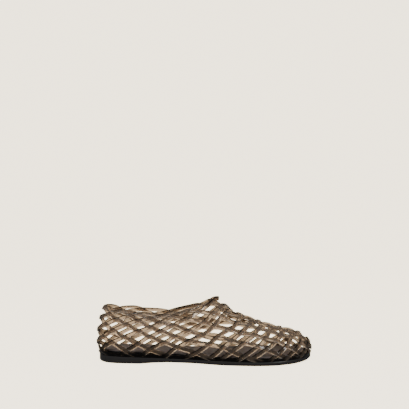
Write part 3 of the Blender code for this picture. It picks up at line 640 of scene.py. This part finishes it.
def slab(layers, stations):
    """A closed block from layers, each an outward shift and a height for every place along the shoe."""
    mesh = bmesh.new()
    rings = []
    for shift, height in layers:
        ring = {}
        for side in (OUTER, INNER):
            foot, outward = foot_outline(side, stations)
            places = np.column_stack([foot + outward * shift, height(foot[:, 0])])
            for k, place in enumerate(to_frame(places)):
                at_end = k in (0, len(stations) - 1)
                if not (at_end and side == INNER):
                    ring[side, k] = mesh.verts.new(place)
        for k in (0, len(stations) - 1):
            ring[INNER, k] = ring[OUTER, k]
        rings.append(ring)
    spans = list(zip(range(len(stations) - 1), range(1, len(stations))))
    for low, high in zip(rings, rings[1:]):
        for k, following in spans:
            mesh.faces.new((low[OUTER, k], low[OUTER, following], high[OUTER, following], high[OUTER, k]))
            mesh.faces.new((low[INNER, following], low[INNER, k], high[INNER, k], high[INNER, following]))
    for ring, turned in ((rings[0], True), (rings[-1], False)):
        for k, following in spans:
            corners = [ring[OUTER, k], ring[OUTER, following], ring[INNER, following], ring[INNER, k]]
            corners = list(dict.fromkeys(corners))
            mesh.faces.new(reversed(corners) if turned else corners)
    return mesh


def underside(x):
    """Height of the outsole's lower face along the shoe."""
    return profile(UNDERSIDE, x)


def sole_top(x):
    """Height of the outsole's upper face along the shoe."""
    return np.interp(x, RIB_TABLE["foot_x"], RIB_TABLE["foot_z"])


def insole_top(x):
    """Height of the insole's upper face along the shoe."""
    return profile(INSOLE_TOP, x)


def insole_under(x):
    """Height of the insole's lower face along the shoe."""
    return insole_top(x) - INSOLE_THICKNESS


def raised(height, rise):
    """A height function moved up by a fixed rise."""
    return lambda x: height(x) + rise


def rounded_edge(edge, height, radius, steps, upwards):
    """Layers of a quarter round between a side face and the face above or below it."""
    layers = []
    for turn in np.linspace(0, np.pi / 2, steps):
        shift = edge - radius * (1 - np.cos(turn))
        drop = radius * (1 - np.sin(turn))
        layers.append((shift, raised(height, -drop if upwards else drop)))
    return layers if upwards else layers[::-1]


def piece(name, mesh, material, node):
    """Object of a finished mesh that stands for a solid of the part."""
    bmesh.ops.recalc_face_normals(mesh, faces=mesh.faces)
    data = bpy.data.meshes.new(name)
    mesh.to_mesh(data)
    mesh.free()
    data.shade_smooth()
    data.set_sharp_from_angle(angle=np.radians(SHARP_ANGLE))
    data.materials.append(material)
    thing = bpy.data.objects.new(name, data)
    bpy.context.scene.collection.objects.link(thing)
    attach(thing, "root")
    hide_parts(node)


def outsole(stations):
    """Sole with a low heel, an arch and a rounded lower edge."""
    return slab([
        *rounded_edge(SOLE_LEDGE, underside, SOLE_EDGE_ROUND, SOLE_ROUND_STEPS, upwards=False),
        *rounded_edge(SOLE_LEDGE, sole_top, EDGE_ROUND, EDGE_ROUND_STEPS, upwards=True),
    ], stations)


def footbed(stations):
    """Plain block between the sole and the insole."""
    return slab([
        (-FOOTBED_INSET, raised(sole_top, SEAT_GAP)),
        (-FOOTBED_INSET, raised(insole_under, -SEAT_GAP)),
    ], stations)


def insole(stations):
    """Thin sheet with a rounded upper edge."""
    return slab([
        (-INSOLE_INSET, insole_under),
        *rounded_edge(-INSOLE_INSET, insole_top, EDGE_ROUND, EDGE_ROUND_STEPS, upwards=True),
    ], stations)


# colour of a strip from its lower to its upper edge: painted pale light below, the jelly's own tan on the
# face, painted dark shade above
JELLY_COLOUR_AND_PAINTED_SHADING = ((-0.97, (0.90, 0.77, 0.64)), (-0.60, (0.46, 0.366, 0.284)), (-0.35, (0.328, 0.255, 0.193)),
               (0.42, (0.315, 0.244, 0.184)), (0.62, (0.019, 0.014, 0.011)), (0.98, (0.005, 0.004, 0.0035)))
GRAIN_DETAIL = 3.0
GRAIN_DEPTH = 0.0003
JELLY_GRAIN_DEPTH = 0.0004


def shader_of(name):
    """A new material and its shader and node tree."""
    material = bpy.data.materials.new(name)
    material.use_nodes = True
    tree = material.node_tree
    return material, tree.nodes["Principled BSDF"], tree


def settings(shader, **values):
    """Sets a shader's own sockets by name."""
    for name, value in values.items():
        shader.inputs[name.replace("_", " ")].default_value = value


def grain(tree, shader, scale, strength, depth=GRAIN_DEPTH):
    """Fine bump from noise in the object's own space."""
    place = tree.nodes.new("ShaderNodeTexCoord")
    noise = tree.nodes.new("ShaderNodeTexNoise")
    noise.inputs["Scale"].default_value = scale
    noise.inputs["Detail"].default_value = GRAIN_DETAIL
    bump = tree.nodes.new("ShaderNodeBump")
    bump.inputs["Strength"].default_value = strength
    bump.inputs["Distance"].default_value = depth
    tree.links.new(place.outputs["Object"], noise.inputs["Vector"])
    tree.links.new(noise.outputs["Fac"], bump.inputs["Height"])
    tree.links.new(bump.outputs["Normal"], shader.inputs["Normal"])


def jelly():
    """Translucent smoke-brown soft plastic, with light and shade painted into its colour."""
    material, shader, tree = shader_of("jelly")
    settings(shader, Roughness=0.07, IOR=1.4, Specular_IOR_Level=0.25, Transmission_Weight=0.7)
    grain(tree, shader, scale=240.0, strength=0.02, depth=JELLY_GRAIN_DEPTH)
    painted_shading = tree.nodes.new("ShaderNodeAttribute")
    painted_shading.attribute_name = PAINTED_SHADING_LAYER
    share = tree.nodes.new("ShaderNodeMapRange")
    share.inputs["From Min"].default_value = -1.0
    share.inputs["From Max"].default_value = 1.0
    # the ramp gives the jelly's own tan on the faces, painted pale light at lower edges and painted black
    # shade at upper edges, at the foot and at the ends
    ramp = tree.nodes.new("ShaderNodeValToRGB")
    stops = ramp.color_ramp.elements
    while len(stops) < len(JELLY_COLOUR_AND_PAINTED_SHADING):
        stops.new(0.5)
    for stop, (height, colour) in zip(stops, JELLY_COLOUR_AND_PAINTED_SHADING):
        stop.position = (height + 1) / 2
        stop.color = (*colour, 1)
    tree.links.new(painted_shading.outputs["Fac"], share.inputs["Value"])
    tree.links.new(share.outputs["Result"], ramp.inputs["Fac"])
    tree.links.new(ramp.outputs["Color"], shader.inputs["Base Color"])
    return material


def black_rubber():
    """Moulded rubber with a slight gloss."""
    material, shader, tree = shader_of("black_rubber")
    settings(shader, Base_Color=(0.028, 0.026, 0.026, 1), Roughness=0.25, Specular_IOR_Level=0.5)
    grain(tree, shader, scale=90.0, strength=0.2)
    return material


def black_bed():
    """Satin moulded foam."""
    material, shader, tree = shader_of("black_bed")
    settings(shader, Base_Color=(0.012, 0.011, 0.011, 1), Roughness=0.42, Specular_IOR_Level=0.2)
    grain(tree, shader, scale=900.0, strength=0.05)
    return material


def taupe_sock():
    """Finely grained covering of the insole."""
    material, shader, tree = shader_of("taupe_sock")
    settings(shader, Base_Color=(0.20, 0.17, 0.161, 1), Roughness=0.5, Specular_IOR_Level=0.1)
    grain(tree, shader, scale=1500.0, strength=0.15)
    return material


def pale_paper():
    """Backdrop that glows evenly."""
    material, shader, _ = shader_of("backdrop")
    settings(shader, Base_Color=(0.30, 0.29, 0.27, 1), Roughness=0.9, Specular_IOR_Level=0.0,
             Emission_Color=(1.0, 0.88, 0.66, 1), Emission_Strength=3.5)
    return material


# stage, light and camera, in metres around the middle of the shoe; each soft box has its place, its
# size, its power and whether the shoe's gloss mirrors it
FLOOR_HALF = 30.0
FLOOR_BACK = 1.6
SWEEP_RADIUS = 0.8
SWEEP_STEPS = 17
BACKDROP_TOP = 3.0
LIGHT_AIM = (0.0, 0.0, 0.03)
SOFT_BOXES = {
    "top": ((0.0, 0.05, 1.1), (1.1, 0.7), 3.0, False),
    "front_left": ((-0.7, -1.0, 0.9), (0.5, 0.5), 12.0, False),
    "front_right": ((0.8, -0.9, 0.5), (0.25, 0.6), 5.5, True),
}
WORLD_COLOUR = (0.55, 0.54, 0.52)
WORLD_STRENGTH = 0.25
CAMERA_PLACE = (0.0, -0.9383, 0.1816)
CAMERA_TILT = 89.885
CAMERA_SENSOR = 36.0
CAMERA_LENS = 71.2


def sweep():
    """Floor that curves up into a backdrop and throws no light on the shoe."""
    mesh = bmesh.new()
    line = [(-FLOOR_HALF, 0.0), (FLOOR_BACK, 0.0)]
    for turn in np.linspace(0, np.pi / 2, SWEEP_STEPS)[1:]:
        line.append((FLOOR_BACK + SWEEP_RADIUS * np.sin(turn), SWEEP_RADIUS * (1 - np.cos(turn))))
    line.append((FLOOR_BACK + SWEEP_RADIUS, BACKDROP_TOP))
    left = [mesh.verts.new((-FLOOR_HALF, y, z)) for y, z in line]
    right = [mesh.verts.new((FLOOR_HALF, y, z)) for y, z in line]
    for k in range(len(line) - 1):
        mesh.faces.new((left[k], right[k], right[k + 1], left[k + 1]))
    data = bpy.data.meshes.new("sweep")
    mesh.to_mesh(data)
    mesh.free()
    data.shade_smooth()
    data.materials.append(pale_paper())
    thing = bpy.data.objects.new("sweep", data)
    bpy.context.scene.collection.objects.link(thing)
    thing.visible_diffuse = False
    thing.visible_glossy = False


def soft_box(name, place, size, power, mirrored):
    """A rectangular light pointed at the shoe."""
    data = bpy.data.lights.new(name, "AREA")
    data.shape = "RECTANGLE"
    data.size, data.size_y = size
    data.energy = power
    thing = bpy.data.objects.new(name, data)
    thing.location = place
    thing.rotation_mode = "QUATERNION"
    thing.rotation_quaternion = (Vector(LIGHT_AIM) - Vector(place)).to_track_quat("-Z", "Y")
    thing.visible_glossy = mirrored
    bpy.context.scene.collection.objects.link(thing)


def studio_air():
    """Even weak light from all round."""
    world = bpy.data.worlds.new("studio")
    world.use_nodes = True
    air = world.node_tree.nodes["Background"].inputs
    air["Color"].default_value = (*WORLD_COLOUR, 1)
    air["Strength"].default_value = WORLD_STRENGTH
    bpy.context.scene.world = world


def photo_camera():
    """Camera that looks level at the outer side, with the shoe low in the frame."""
    data = bpy.data.cameras.new("camera")
    data.sensor_width = CAMERA_SENSOR
    data.lens = CAMERA_LENS
    camera = bpy.data.objects.new("camera", data)
    camera.location = CAMERA_PLACE
    camera.rotation_euler = (np.radians(CAMERA_TILT), 0.0, 0.0)
    bpy.context.scene.collection.objects.link(camera)
    bpy.context.scene.camera = camera


piece("net", woven_net(), jelly(), "upper")
stations = np.linspace(0, LAST_RIB, SOLE_SECTIONS)
piece("sole", outsole(stations), black_rubber(), "outsole")
piece("bed", footbed(stations), black_bed(), "footbed")
piece("sock", insole(stations), taupe_sock(), "insole")
sweep()
for name, box in SOFT_BOXES.items():
    soft_box(name, *box)
studio_air()
photo_camera()
